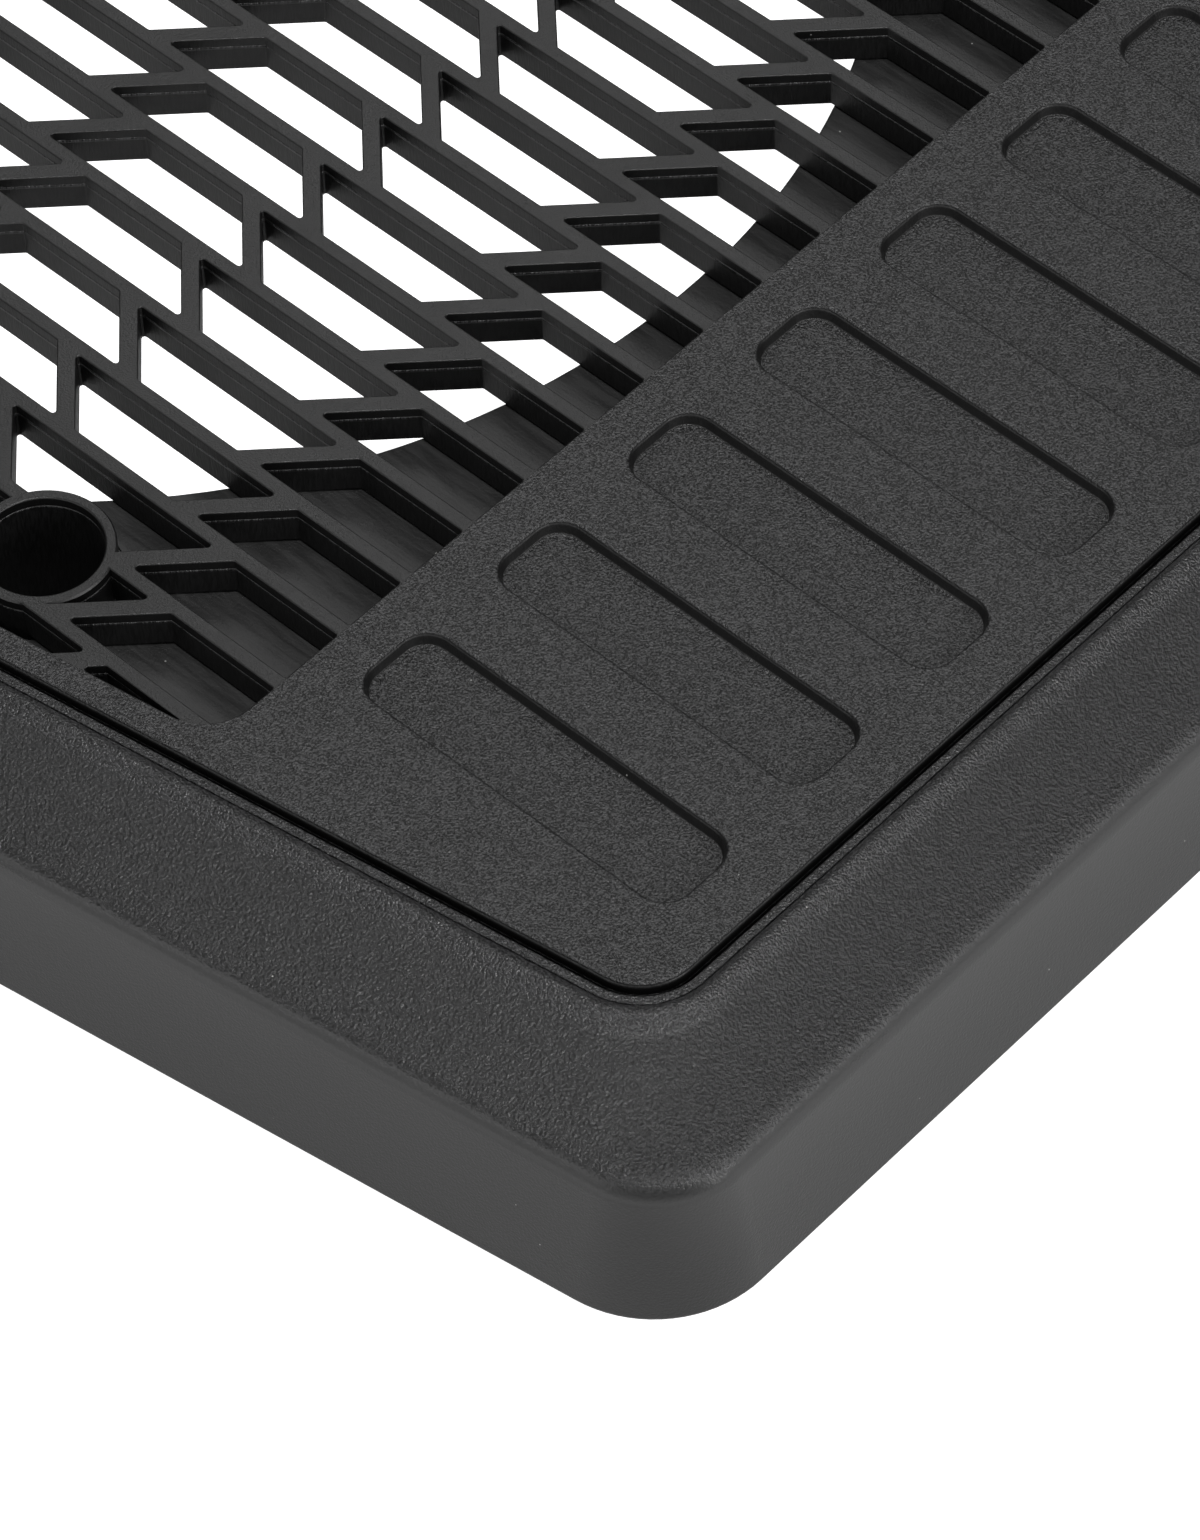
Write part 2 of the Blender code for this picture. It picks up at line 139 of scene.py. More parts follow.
def fillet(before, corner, after, radius, steps):
    """Points of the arc that rounds one corner of a path, its radius held to what fits."""
    leg_in = Vector(before) - Vector(corner)
    leg_out = Vector(after) - Vector(corner)
    turn = math.pi - leg_in.angle(leg_out)
    if radius <= 0 or turn < 0.02:
        return [tuple(corner)]
    setback = min(radius * math.tan(turn / 2), 0.47 * leg_in.length, 0.47 * leg_out.length)
    radius = setback / math.tan(turn / 2)
    unit_in = leg_in.normalized()
    unit_out = leg_out.normalized()
    centre = Vector(corner) + (unit_in + unit_out).normalized() * radius / math.cos(turn / 2)
    start = Vector(corner) + unit_in * setback - centre
    end = Vector(corner) + unit_out * setback - centre
    points = []
    for step in range(steps + 1):
        share = step / steps
        spoke = (start * math.sin((1 - share) * turn) + end * math.sin(share * turn))
        points.append(tuple(centre + spoke / math.sin(turn)))
    return points


def rounded(corners, radii, steps):
    """Round every corner of a closed outline."""
    points = []
    for index, corner in enumerate(corners):
        after = corners[(index + 1) % len(corners)]
        points += fillet(corners[index - 1], corner, after, radii[index], steps[index])
    return points


def rounded_path(knots, steps):
    """Round the inner corners of an open path whose knots are (across, height, radius)."""
    points = [knots[0][:2]]
    for before, (across, height, radius), after in zip(knots, knots[1:], knots[2:]):
        points += fillet(before[:2], (across, height), after[:2], radius, steps)
    return points + [knots[-1][:2]]


def hexagon_corners(end_offset, side_offset):
    half_length = GROOVE_HALF_LENGTH + end_offset
    half_width = GROOVE_HALF_WIDTH + side_offset / math.cos(SIDE_ANGLE)
    end_width = half_width - SIDE_TAPER * half_length
    return [
        (half_length, -end_width),
        (half_length, end_width),
        (0.0, half_width),
        (-half_length, end_width),
        (-half_length, -end_width),
        (0.0, -half_width),
    ]


def hexagon_outline(end_offset, side_offset, corner_radius, waist_radius):
    radii = [corner_radius, corner_radius, waist_radius] * 2
    steps = [CORNER_STEPS, CORNER_STEPS, WAIST_STEPS] * 2
    return rounded(hexagon_corners(end_offset, side_offset), radii, steps)


def lattice_outline(inset):
    return hexagon_outline(-PLATE_LENGTH - inset, -BORDER_WIDTH - inset,
                           LATTICE_CORNER_RADIUS - inset, WAIST_RADIUS - BORDER_WIDTH - inset)


def circle(centre, radius, steps):
    return [(centre[0] + radius * math.cos(2 * math.pi * step / steps),
             centre[1] + radius * math.sin(2 * math.pi * step / steps)) for step in range(steps)]


def clipped(polygon, window):
    """Part of a convex polygon inside a convex anticlockwise window."""
    kept = polygon
    for index, (ax, ay) in enumerate(window):
        bx, by = window[(index + 1) % len(window)]
        source = kept
        kept = []
        for place, point in enumerate(source):
            previous = source[place - 1]
            here = (bx - ax) * (point[1] - ay) - (by - ay) * (point[0] - ax)
            there = (bx - ax) * (previous[1] - ay) - (by - ay) * (previous[0] - ax)
            if (here >= 0) != (there >= 0):
                share = there / (there - here)
                kept.append((previous[0] + share * (point[0] - previous[0]),
                             previous[1] + share * (point[1] - previous[1])))
            if here >= 0:
                kept.append(point)
        if len(kept) < 3:
            return []
    return kept


def area(polygon):
    total = 0.0
    for index, (x, y) in enumerate(polygon):
        previous = polygon[index - 1]
        total += previous[0] * y - x * previous[1]
    return total / 2


def spaced(polygon, smallest):
    kept = []
    for point in polygon:
        previous = kept[-1] if kept else polygon[-1]
        if math.dist(point, previous) >= smallest:
            kept.append(point)
    return kept


def grown(polygon, distance):
    """Convex outline with every edge moved outwards by a distance."""
    points = []
    for index, corner in enumerate(polygon):
        here = Vector(corner)
        edge_in = (here - Vector(polygon[index - 1])).normalized()
        edge_out = (Vector(polygon[(index + 1) % len(polygon)]) - here).normalized()
        normal_in = Vector((edge_in.y, -edge_in.x))
        normal_out = Vector((edge_out.y, -edge_out.x))
        middle = (normal_in + normal_out).normalized()
        points.append(tuple(here + middle * distance / max(0.3, middle.dot(normal_out))))
    return points


# ---------------------------------------------------------------- solids

def add_loops(mesh, rings):
    return [[mesh.verts.new((x, y, height)) for x, y in outline] for outline, height in rings]


def skin(mesh, loops):
    for upper, lower in zip(loops, loops[1:]):
        for index in range(len(upper)):
            following = (index + 1) % len(upper)
            mesh.faces.new((upper[index], lower[index], lower[following], upper[following]))


def add_loft(mesh, rings):
    """Skin a stack of equal outlines from the top cap outwards and round to the bottom cap."""
    loops = add_loops(mesh, rings)
    skin(mesh, loops)
    mesh.faces.new(loops[0])
    mesh.faces.new(reversed(loops[-1]))


def new_object(name, mesh):
    data = bpy.data.meshes.new(name)
    mesh.to_mesh(data)
    mesh.free()
    result = bpy.data.objects.new(name, data)
    bpy.context.collection.objects.link(result)
    return result


def lofts(name, stacks):
    """One tool made of separate lofts."""
    mesh = bmesh.new()
    for rings in stacks:
        add_loft(mesh, rings)
    return new_object(name, mesh)


def straight(outline, bottom, top):
    return [(outline, top), (outline, bottom)]


def combined(body, steps):
    """Carve or join each tool in turn, and keep only the finished mesh."""
    for tool, operation in steps:
        modifier = body.modifiers.new(tool.name, "BOOLEAN")
        modifier.operation = operation
        modifier.object = tool
        modifier.solver = "EXACT"
    graph = bpy.context.evaluated_depsgraph_get()
    finished = bpy.data.meshes.new_from_object(body.evaluated_get(graph))
    body.modifiers.clear()
    body.data = finished
    for tool, _ in steps:
        bpy.data.objects.remove(tool, do_unlink=True)
    return body


def finish_surface(piece, materials, choose=None):
    """Give a piece its materials and soft shading over its rounded edges."""
    piece.data.materials.clear()
    for material in materials:
        piece.data.materials.append(material)
    for face in piece.data.polygons:
        face.use_smooth = True
        face.material_index = choose(face) if choose else 0
    piece.data.set_sharp_from_angle(angle=SMOOTH_ANGLE)
    weighting = piece.modifiers.new("even_normals", "WEIGHTED_NORMAL")
    weighting.mode = "FACE_AREA"
    weighting.keep_sharp = True
    return piece


# ---------------------------------------------------------------- surround

def surround_corner_radius(offset):
    """Corner radius of the surround's outline, which changes from the groove to the base."""
    stations = [
        (0.0, GROOVE_CORNER_RADIUS),
        (BEAD_END, GROOVE_CORNER_RADIUS + BEAD_END),
        (BAND_START, BAND_CORNER_RADIUS),
        (BAND_END, BAND_CORNER_RADIUS),
        (SHOULDER_END, BAND_CORNER_RADIUS + 1.0 * MM),
        (END_RAIL, BASE_CORNER_RADIUS),
    ]
    for (near, small), (far, large) in zip(stations, stations[1:]):
        if offset <= far:
            return small + (large - small) * (offset - near) / (far - near)
    return BASE_CORNER_RADIUS


def side_offset(end_offset):
    return end_offset * SIDE_RAIL / END_RAIL


def surround_ring(offset, height, thinner=0.0):
    outline = hexagon_outline(offset, side_offset(offset),
                              surround_corner_radius(offset + thinner) - thinner,
                              WAIST_RADIUS + side_offset(offset))
    return outline, height


def surround_profile():
    """Path across the rail, from the ledge up over the lip, bead, band and wall to the floor.

    Knots are (past the groove, above the tread, edge radius), in millimetres.
    """
    inner = GROOVE_WIDTH / 2
    knots = [
        (inner / MM, -LEDGE_DROP / MM, 0.0),
        (inner / MM, -0.6, 0.55),
        (2.75, -0.6, 0.12),
        (2.98, -1.15, 0.05),
        (3.3, -0.3, 0.15),
        (5.0, 0.62, 2.2),
        (9.3, -1.54, 2.6),
        (32.71, -6.25, 5.6),
        (END_RAIL / MM, (SKIRT_HEIGHT - TREAD_HEIGHT) / MM, 1.2),
        ((END_RAIL - WALL) / MM, (SKIRT_HEIGHT - TREAD_HEIGHT) / MM, 0.0),
    ]
    return [(across * MM, TREAD_HEIGHT + height * MM) for across, height in
            rounded_path(knots, ARC_STEPS)]


def surround_inside():
    """The same path back under the rail, one wall thickness in, to the ledge's underside."""
    rail = END_RAIL - WALL
    inner = GROOVE_WIDTH / 2 + WALL
    return [
        (rail - 0.1 * MM, SKIRT_HEIGHT + 0.4 * MM),
        (30.2 * MM, TREAD_HEIGHT - 11.0 * MM),
        (27.8 * MM, TREAD_HEIGHT - 8.7 * MM),
        (9.6 * MM, TREAD_HEIGHT - 4.8 * MM),
        (inner, TREAD_HEIGHT - 4.6 * MM),
        (inner, LEDGE_HEIGHT - WALL),
    ]


def foot_places():
    """Middles of the rubber feet: near the four corners, and halfway along the two sides."""
    corners = hexagon_outline(FOOT_OFFSET, side_offset(FOOT_OFFSET), BAND_CORNER_RADIUS,
                              WAIST_RADIUS)
    per_corner = CORNER_STEPS + 1
    per_waist = WAIST_STEPS + 1
    starts = [0, per_corner, 2 * per_corner + per_waist, 3 * per_corner + per_waist]
    places = [corners[start + CORNER_STEPS // 2] for start in starts]
    waist = GROOVE_HALF_WIDTH + side_offset(FOOT_OFFSET)
    return places + [(0.0, waist), (0.0, -waist)]


def leg_places():
    return [(LEG_X, -LEG_Y), (LEG_X, LEG_Y), (-LEG_X, LEG_Y), (-LEG_X, -LEG_Y)]


def edge_arc(radius, steps):
    """(outward, drop) along a rounded top edge that a cutter opens, from the wall to the top."""
    turns = [math.pi / 2 * step / steps for step in range(steps + 1)]
    return [(radius * (1 - math.cos(turn)), radius * (1 - math.sin(turn))) for turn in turns]


def opened_hole(centre, radius, edge, bottom, top, steps):
    """Round cutter that leaves a rounded edge at the top of the hole."""
    rings = [(circle(centre, radius + edge, steps), top + CUT_MARGIN)]
    for outward, drop in reversed(edge_arc(edge, EDGE_STEPS)):
        rings.append((circle(centre, radius + outward, steps), top - drop))
    rings.append((circle(centre, radius, steps), bottom))
    return rings


def make_surround():
    rings = [surround_ring(offset, height) for offset, height in surround_profile()]
    rings += [surround_ring(offset, height, WALL) for offset, height in surround_inside()]
    mesh = bmesh.new()
    add_loft(mesh, rings)
    surround = new_object("surround", mesh)
    below = LEDGE_HEIGHT - WALL - CUT_MARGIN
    opening = lofts("opening", [opened_hole((0.0, 0.0), LEDGE_OPENING_RADIUS,
                                            OPENING_EDGE_RADIUS, below, LEDGE_HEIGHT,
                                            OPENING_STEPS)])
    leg_holes = lofts("leg_holes", [
        opened_hole(place, LEG_RADIUS + LEG_HOLE_CLEARANCE, OPENING_EDGE_RADIUS / 2, below,
                    LEDGE_HEIGHT, TUBE_STEPS) for place in leg_places()])
    bosses = lofts("bosses", [
        straight(circle(place, FOOT_BOSS_RADIUS, FOOT_STEPS), FOOT_BOSS_BOTTOM,
                 TREAD_HEIGHT - FOOT_BOSS_TOP_DROP) for place in foot_places()])
    sockets = lofts("sockets", [
        straight(circle(place, FOOT_SOCKET_RADIUS, FOOT_STEPS), 0.0,
                 FOOT_BOSS_BOTTOM + FOOT_SOCKET_DEPTH) for place in foot_places()])
    return combined(surround, [
        (opening, "DIFFERENCE"),
        (leg_holes, "DIFFERENCE"),
        (bosses, "UNION"),
        (sockets, "DIFFERENCE"),
    ])


# ---------------------------------------------------------------- grate

def grate_ring(inset, height):
    outline = hexagon_outline(-inset, -inset, GROOVE_CORNER_RADIUS - inset, WAIST_RADIUS - inset)
    return outline, height


def grate_rings():
    edge = GROOVE_WIDTH / 2
    window = lattice_outline(0.0)
    soft_window = lattice_outline(-WINDOW_EDGE)
    rings = [(window, BAR_TOP), (window, TREAD_HEIGHT - WINDOW_EDGE), (soft_window, TREAD_HEIGHT)]
    for outward, drop in reversed(edge_arc(TREAD_EDGE_RADIUS, ARC_STEPS)):
        rings.append(grate_ring(edge + outward, TREAD_HEIGHT - drop))
    return rings + [
        grate_ring(edge, GRATE_BOTTOM + GRATE_FOOT_CHAMFER),
        grate_ring(edge + GRATE_FOOT_CHAMFER, GRATE_BOTTOM),
        (window, GRATE_BOTTOM),
        (window, BAR_BOTTOM),
    ]


def tie_lean(row):
    """+1 or -1: which way a row of ties slants, turn and turn about, outer rows alike."""
    return 1.0 if row % 2 == 0 else -1.0


def lattice_cells():
    """Open cells between the long bars and the slanting ties, clipped to the lattice outline."""
    window = lattice_outline(CELL_INSET)
    half_tie = TIE_WIDTH * math.sqrt(2) / 2
    far = 2 * LATTICE_HALF_LENGTH
    channels = math.ceil(GROOVE_HALF_WIDTH / BAR_PITCH)
    centres = [(row - (TIE_ROWS - 1) / 2) * TIE_PITCH for row in range(TIE_ROWS)]
    cells = []
    for channel in range(-channels, channels + 1):
        middle = channel * BAR_PITCH
        half = (BAR_PITCH - BAR_WIDTH) / 2
        for row in range(TIE_ROWS + 1):
            near_low = near_high = -far
            if row > 0:
                near_low = centres[row - 1] + half_tie - tie_lean(row - 1) * half
                near_high = centres[row - 1] + half_tie + tie_lean(row - 1) * half
            far_low = far_high = far
            if row < TIE_ROWS:
                far_low = centres[row] - half_tie - tie_lean(row) * half
                far_high = centres[row] - half_tie + tie_lean(row) * half
            cell = [(near_low, middle - half), (far_low, middle - half),
                    (far_high, middle + half), (near_high, middle + half)]
            cell = spaced(clipped(cell, window), 0.05 * MM)
            if len(cell) > 2 and area(cell) > 4 * MM * MM:
                cells.append(cell)
    return cells


def cell_cutter(cell):
    """Cutter for one open cell, flared so that the bars keep a rounded top edge."""
    rings = []
    for outward, drop in reversed([(0.0, BAR_DEPTH + CUT_MARGIN)]
                                  + edge_arc(BAR_EDGE_RADIUS, EDGE_STEPS)
                                  + [(BAR_EDGE_RADIUS, -CUT_MARGIN)]):
        outline = grown(cell, outward) if outward else cell
        radii = [CELL_CORNER_RADIUS + outward] * len(cell)
        rings.append((rounded(outline, radii, [EDGE_STEPS] * len(cell)), BAR_TOP - drop))
    return rings


def recess_outline(centre, length, width, radius):
    half_x = length / 2
    half_y = width / 2
    corners = [(centre[0] + half_x, centre[1] - half_y), (centre[0] + half_x, centre[1] + half_y),
               (centre[0] - half_x, centre[1] + half_y), (centre[0] - half_x, centre[1] - half_y)]
    return rounded(corners, [radius] * 4, [RECESS_STEPS] * 4)


def recess_cutter(centre):
    """Cutter for one recess: rounded rim, slight draft and a rounded foot."""
    path = [(RECESS_RIM_RADIUS, -CUT_MARGIN)]
    path += reversed(edge_arc(RECESS_RIM_RADIUS, ARC_STEPS))
    foot = RECESS_DEPTH - RECESS_FOOT_RADIUS
    for step in range(ARC_STEPS + 1):
        turn = math.pi / 2 * step / ARC_STEPS
        path.append((-RECESS_DRAFT - RECESS_FOOT_RADIUS * (1 - math.cos(turn)),
                     foot + RECESS_FOOT_RADIUS * math.sin(turn)))
    return [(recess_outline(centre, RECESS_LENGTH + 2 * outward, RECESS_WIDTH + 2 * outward,
                            RECESS_CORNER_RADIUS + outward), TREAD_HEIGHT - drop)
            for outward, drop in path]


def recess_places():
    along = GROOVE_HALF_LENGTH - RECESS_MARGIN - RECESS_LENGTH / 2
    across = [(index - (RECESS_COUNT - 1) / 2) * RECESS_PITCH for index in range(RECESS_COUNT)]
    return [(end * along, y) for end in (1, -1) for y in across]


def bay_cutter(recess):
    """Cutter for the hollow between the ribs under one recess."""
    length = PLATE_LENGTH - GROOVE_WIDTH / 2 - 2 * BAY_RIB
    middle = math.copysign(LATTICE_HALF_LENGTH + BAY_RIB + length / 2, recess[0])
    outline = recess_outline((middle, recess[1]), length, RECESS_PITCH - BAY_RIB, BAY_RIB)
    return straight(outline, GRATE_BOTTOM - CUT_MARGIN, TREAD_HEIGHT - RECESS_DEPTH - SKIN)


def leg_tube(place):
    return [
        (circle(place, LEG_RADIUS - LEG_EDGE, TUBE_STEPS), BAR_TOP + TUBE_RISE),
        (circle(place, LEG_RADIUS, TUBE_STEPS), BAR_TOP - LEG_EDGE),
        (circle(place, LEG_RADIUS, TUBE_STEPS), LEG_BOTTOM + LEG_EDGE),
        (circle(place, LEG_RADIUS - LEG_EDGE, TUBE_STEPS), LEG_BOTTOM),
    ]


def make_grate():
    mesh = bmesh.new()
    add_loft(mesh, grate_rings())
    grate = new_object("lift_out_grate_panel", mesh)
    cells = lofts("cells", [cell_cutter(cell) for cell in lattice_cells()])
    recesses = lofts("recesses", [recess_cutter(place) for place in recess_places()])
    bays = lofts("bays", [bay_cutter(place) for place in recess_places()])
    tubes = lofts("tubes", [leg_tube(place) for place in leg_places()])
    bores = lofts("bores", [opened_hole(place, LEG_BORE_RADIUS, BORE_EDGE_RADIUS, 0.0,
                                        BAR_TOP + TUBE_RISE, TUBE_STEPS)
                            for place in leg_places()])
    return combined(grate, [
        (cells, "DIFFERENCE"),
        (recesses, "DIFFERENCE"),
        (bays, "DIFFERENCE"),
        (tubes, "UNION"),
        (bores, "DIFFERENCE"),
    ])


# ---------------------------------------------------------------- rubber pieces

def make_turned(name, place, knots, steps):
    """Turned piece on the floor at a place; knots are (radius, height, edge radius) from the top."""
    mesh = bmesh.new()
    add_loft(mesh, [(circle((0.0, 0.0), radius, steps), height)
                    for radius, height in rounded_path(knots, 4)])
    piece = new_object(name, mesh)
    piece.location = (place[0], place[1], 0.0)
    return piece


def make_rubber(name, place, head, peg, steps):
    """Foot or plug: head and peg are each (radius, top); the head has a shallow dished sole."""
    head_radius, head_top = head
    peg_radius, peg_top = peg
    edge = RUBBER_EDGE_RADIUS
    knots = [
        (peg_radius - 1.2 * MM, peg_top, 0.0),
        (peg_radius, peg_top, edge),
        (peg_radius, head_top, 0.3 * MM),
        (head_radius, head_top, 0.3 * MM),
        (head_radius, 0.0, edge),
        (head_radius * 0.62, 0.0, 0.2 * MM),
        (head_radius * 0.52, 0.7 * MM, 0.0),
    ]
    return make_turned(name, place, knots, steps)


# ---------------------------------------------------------------- finishes

class Amount:
    """A number that varies over a surface; arithmetic with it adds Math nodes."""

    def __init__(self, finish, socket):
        self.finish = finish
        self.socket = socket

    def maths(self, operation, first, second=0.0):
        node = self.finish.node("ShaderNodeMath", {"operation": operation},
                                {0: first, 1: second})
        return Amount(self.finish, node.outputs[0])

    def __add__(self, other):
        return self.maths("ADD", self, other)

    __radd__ = __add__

    def __sub__(self, other):
        return self.maths("SUBTRACT", self, other)

    def __rsub__(self, other):
        return self.maths("SUBTRACT", other, self)

    def __mul__(self, other):
        return self.maths("MULTIPLY", self, other)

    __rmul__ = __mul__

    def size(self):
        return self.maths("ABSOLUTE", self)

    def larger(self, other):
        return self.maths("MAXIMUM", self, other)

    def rise(self, start, end):
        """0 before start and 1 after end, turning smoothly between them."""
        node = self.finish.node("ShaderNodeMapRange", {"interpolation_type": "SMOOTHSTEP"},
                                {"Value": self, "From Min": start, "From Max": end})
        return Amount(self.finish, node.outputs["Result"])


class Finish:
    """One material, built round its shader, with every pattern set in the mat's own space."""

    def __init__(self, name, colour, roughness, specular=0.5):
        self.material = bpy.data.materials.new(name)
        self.material.use_nodes = True
        self.tree = self.material.node_tree
        self.shader = self.tree.nodes["Principled BSDF"]
        self.set("Base Color", colour)
        self.set("Roughness", roughness)
        self.set("Specular IOR Level", specular)
        self.place = self.node("ShaderNodeTexCoord").outputs["Object"]

    def node(self, kind, settings=None, sockets=None):
        """Add a node: its settings first, then the values or links of its sockets."""
        node = self.tree.nodes.new(kind)
        for name, value in (settings or {}).items():
            setattr(node, name, value)
        for name, value in (sockets or {}).items():
            self.feed(node.inputs[name], value)
        return node

    def feed(self, socket, value):
        if isinstance(value, Amount):
            value = value.socket
        if isinstance(value, tuple) and socket.type == "RGBA":
            value = (*value[:3], 1.0)
        if isinstance(value, bpy.types.NodeSocket):
            self.tree.links.new(value, socket)
        else:
            socket.default_value = value

    def set(self, name, value):
        self.feed(self.shader.inputs[name], value)

    def axis(self, name):
        node = self.node("ShaderNodeSeparateXYZ", None, {"Vector": self.place})
        return Amount(self, node.outputs[name])

    def stretched(self, scale):
        node = self.node("ShaderNodeVectorMath", {"operation": "MULTIPLY"},
                         {0: self.place, 1: scale})
        return node.outputs["Vector"]

    def noise(self, grain, detail=2.0, distortion=0.0, vector=None):
        """Cloudy pattern whose lumps are about one grain across, in metres."""
        node = self.node("ShaderNodeTexNoise", None,
                         {"Vector": vector or self.place, "Scale": 1.0 / grain,
                          "Detail": detail, "Roughness": 0.55, "Distortion": distortion})
        return Amount(self, node.outputs["Fac"])

    def pebbles(self, grain, vector=None):
        """Distance to the nearest pebble's middle, 0 to about 1."""
        node = self.node("ShaderNodeTexVoronoi", {"feature": "F1"},
                         {"Vector": vector or self.place, "Scale": 1.0 / grain})
        return Amount(self, node.outputs["Distance"])

    def specks(self, spacing, radius, share):
        """1 on sparse round specks of dust, 0 elsewhere."""
        node = self.node("ShaderNodeTexVoronoi", {"feature": "F1"},
                         {"Vector": self.place, "Scale": 1.0 / spacing})
        near = 1 - Amount(self, node.outputs["Distance"]).rise(radius / spacing * 0.6,
                                                               radius / spacing)
        pick = self.node("ShaderNodeSeparateColor", None, {"Color": node.outputs["Color"]})
        return near * Amount(self, pick.outputs["Red"]).rise(1 - share, 1 - share * 0.7)

    def mixed(self, share, first, second):
        node = self.node("ShaderNodeMix", {"data_type": "RGBA"},
                         {0: share, 6: first, 7: second})
        return node.outputs[2]

    def raise_surface(self, height, distance):
        bump = self.node("ShaderNodeBump", None,
                         {"Height": height, "Distance": distance, "Strength": 1.0})
        self.set("Normal", bump.outputs["Normal"])


BLACK = (0.0135, 0.0135, 0.014)
DUST = (0.30, 0.30, 0.29)


def surround_plastic():
    """Black plastic: leather-like grain on the sloping band, fine grain on lip and wall."""
    finish = Finish("grained_black_plastic", BLACK, 0.42)
    height = finish.axis("Z")
    along = finish.axis("X").size()
    tread = TREAD_HEIGHT
    below_bead = 1 - height.rise(tread - 1.7 * MM, tread - 0.9 * MM)
    band = height.rise(tread - 7.8 * MM, tread - 5.6 * MM) * below_bead
    bead = 1 - below_bead
    strength = 0.6 + 0.4 * along.rise(296 * MM, 312 * MM)
    leather = finish.noise(0.62 * MM, 2.0, 0.3) * 0.75 + finish.pebbles(0.9 * MM) * 0.25
    fine = finish.noise(0.5 * MM, 1.0)
    relief = leather * band * strength + fine * (bead * 0.45 + 0.08)
    finish.raise_surface(relief, 0.75 * MM)
    dust = finish.specks(6.0 * MM, 0.22 * MM, 0.16)
    cloudy = finish.noise(35 * MM, 3.0)
    pits = leather.rise(0.36, 0.56) * band * strength + fine.rise(0.38, 0.62) * (bead + 0.1)
    grain = pits * (1 - 0.5 * band)
    tone = finish.mixed(grain * 0.85 + cloudy * 0.15, (0.001, 0.001, 0.001),
                        (0.027, 0.027, 0.028))
    finish.set("Base Color", finish.mixed(dust, tone, DUST))
    finish.set("Roughness", 0.25 + 0.06 * cloudy + 0.10 * band + 0.03 * bead + 0.25 * dust)
    return finish.material


def ledge_plastic():
    """The flat ledge under the grate: smoother, with faint scuff streaks along it."""
    finish = Finish("scuffed_black_plastic", BLACK, 0.5)
    streak = finish.noise(5.0 * MM, 4.0, 0.4, finish.stretched((0.35, 3.0, 1.0)))
    finish.raise_surface(finish.noise(0.7 * MM, 2.0) * 0.4 + streak * 0.6, 0.2 * MM)
    tone = finish.mixed(streak.rise(0.35, 0.7), (0.010, 0.010, 0.010), (0.024, 0.024, 0.024))
    dust = finish.specks(4.0 * MM, 0.25 * MM, 0.2)
    finish.set("Base Color", finish.mixed(dust, tone, DUST))
    finish.set("Roughness", 0.42 + 0.2 * streak)
    return finish.material


def grate_plastic():
    """Black plastic with a fine spark grain, smooth on the recess rims and the bars, and darkened
    there with painted shade: recess walls, bar tops, bar and tube walls, bores.
    """
    finish = Finish("spark_grained_black_plastic", BLACK, 0.5)
    height = finish.axis("Z")
    pocket = TREAD_HEIGHT - RECESS_DEPTH
    below_top = 1 - height.rise(TREAD_HEIGHT - 0.45 * MM, TREAD_HEIGHT - 0.05 * MM)
    # Painted shade: darkens every surface from just under the tread down to just above the recess
    # floors, a painted dark line round the recess rims that also darkens the bar tops and upper bar
    # walls
    upper_smooth_painted_shade = below_top * height.rise(pocket + 0.08 * MM, pocket + 0.4 * MM)
    # Painted shade: darkens everything lower than the recess floors, the bar walls, tube walls and
    # bores, as though light did not reach them
    deep_smooth_painted_shade = 1 - height.rise(pocket - 0.5 * MM, pocket - 0.1 * MM)
    flattened = finish.stretched((1.0, 1.0, 0.15))
    spark = (finish.noise(0.45 * MM, 1.0, 0.2, flattened) * 0.9
             + finish.noise(1.8 * MM, 1.0, 0.0, flattened) * 0.1)
    finish.raise_surface(spark * (1 - 0.85 * upper_smooth_painted_shade - 0.85 * deep_smooth_painted_shade), 0.55 * MM)
    dust = finish.specks(6.5 * MM, 0.22 * MM, 0.14)
    cloudy = finish.noise(28 * MM, 3.0)
    grain = spark.rise(0.42, 0.58) * 0.85 + cloudy * 0.15
    # Colour is the spark grain, darkened by the painted shade of both masks above
    tone = finish.mixed(grain * (1 - upper_smooth_painted_shade - 0.9 * deep_smooth_painted_shade), (0.001, 0.001, 0.001), (0.042, 0.042, 0.043))
    finish.set("Base Color", finish.mixed(dust, tone, DUST))
    finish.set("Roughness", 0.37 + 0.10 * cloudy + 0.2 * dust)
    return finish.material


def foot_rubber():
    finish = Finish("matt_black_rubber", (0.01, 0.01, 0.01), 0.8)
    cloudy = finish.noise(6 * MM, 3.0)
    finish.raise_surface(finish.noise(0.5 * MM, 2.0), 0.04 * MM)
    finish.set("Base Color", finish.mixed(cloudy, (0.008, 0.008, 0.008), (0.02, 0.02, 0.019)))
    finish.set("Roughness", 0.7 + 0.2 * cloudy)
    return finish.material


